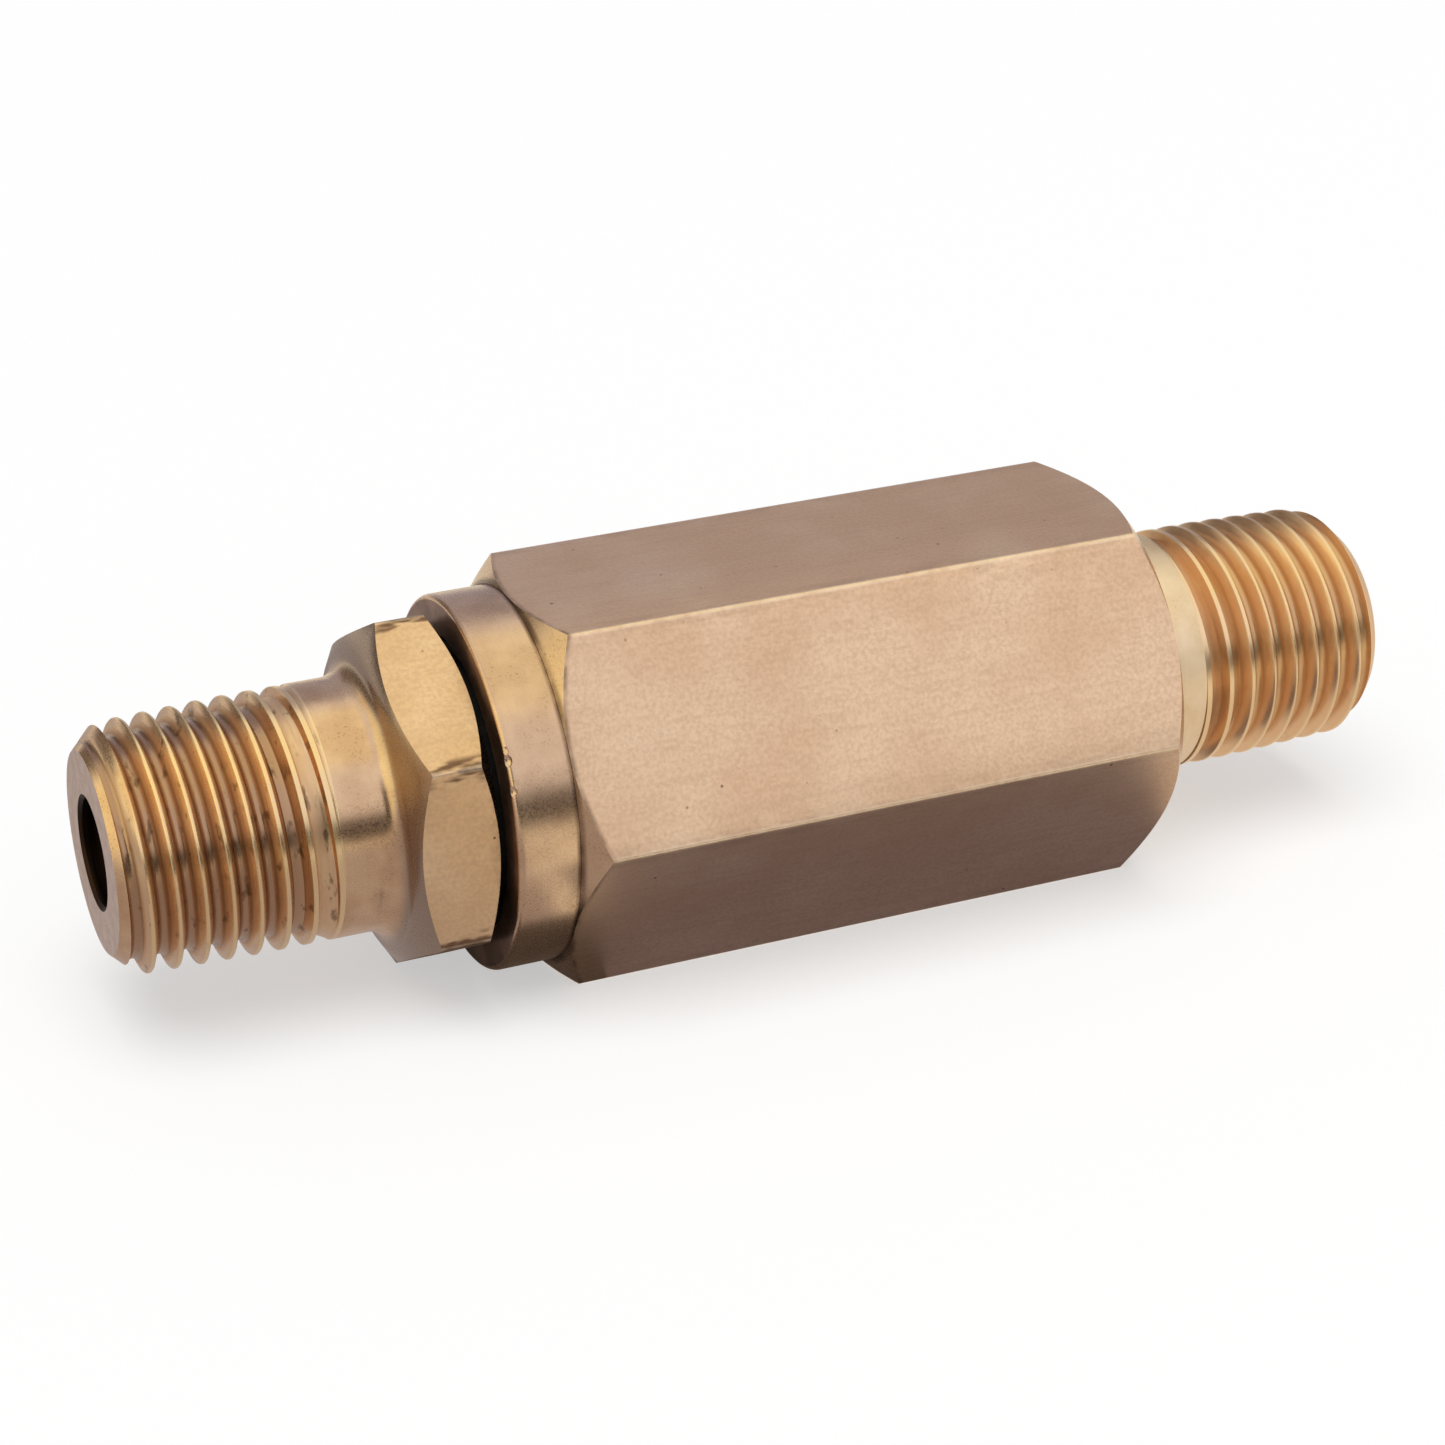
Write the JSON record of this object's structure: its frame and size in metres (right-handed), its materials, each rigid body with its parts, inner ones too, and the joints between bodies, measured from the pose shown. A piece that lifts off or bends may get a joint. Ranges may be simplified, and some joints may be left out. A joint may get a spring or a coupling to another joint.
{
  "type": "needle valve",
  "caption": "Inline needle valve: a hexagonal brass body and a hollow threaded stem that turns in it to move the needle, with a male taper pipe thread at each end.",
  "frame": {"origin": "on the valve's axis, half way along its length, the centre of its box", "axes": "+X along the axis from the inlet (small hexagon) to the outlet, +Z out of a flat of the body's hexagon, the flat opposite is the one it rests on, +Y towards a corner of that hexagon"},
  "size_m": [0.0738, 0.0238, 0.0206],
  "materials": {
    "body_brass": "drawn hexagon bar and turned ends, satin, lightly tarnished",
    "stem_brass": "turned, satin, lightly tarnished",
    "turned_brass": "fine turned",
    "spring_steel": "phosphated, dark",
    "stainless_steel": "ground",
    "ptfe": "moulded PTFE, waxy",
    "nitrile_rubber": "moulded nitrile, matt"
  },
  "bodies": {
    "housing": {"valve_body": "body_brass", "dust_wiper": "nitrile_rubber", "gland_circlip": "spring_steel", "gland_ring": "turned_brass", "wave_spring": "spring_steel", "packing_washer": "stainless_steel", "packing_ring_1": "ptfe", "packing_ring_2": "ptfe", "packing_ring_3": "ptfe", "support_ring": "turned_brass", "guide_bush": "turned_brass", "seat_retainer": "turned_brass", "seat_ring": "stainless_steel", "seat_o_ring": "nitrile_rubber"},
    "needle_set": {"needle": "stainless_steel", "needle_key": "stainless_steel"},
    "stem_set": {"hollow_stem": "stem_brass", "stop_clip": "spring_steel", "thrust_ball": "stainless_steel", "needle_clip": "spring_steel"}
  },
  "joints": [
    {"name": "needle_slide", "type": "slide", "parent": "housing", "child": "needle_set", "axis": [1, 0, 0], "range_m": [-0.0032, 0.0004]},
    {"name": "stem_turn", "type": "hinge", "parent": "needle_set", "child": "stem_set", "pos_m": [0, 0, 0], "axis": [1, 0, 0], "range_deg": [-1154, 146]}
  ],
  "couplings": [
    {"joint": "stem_turn", "follows": "needle_slide", "rad_per_m": 6283.2}
  ]
}
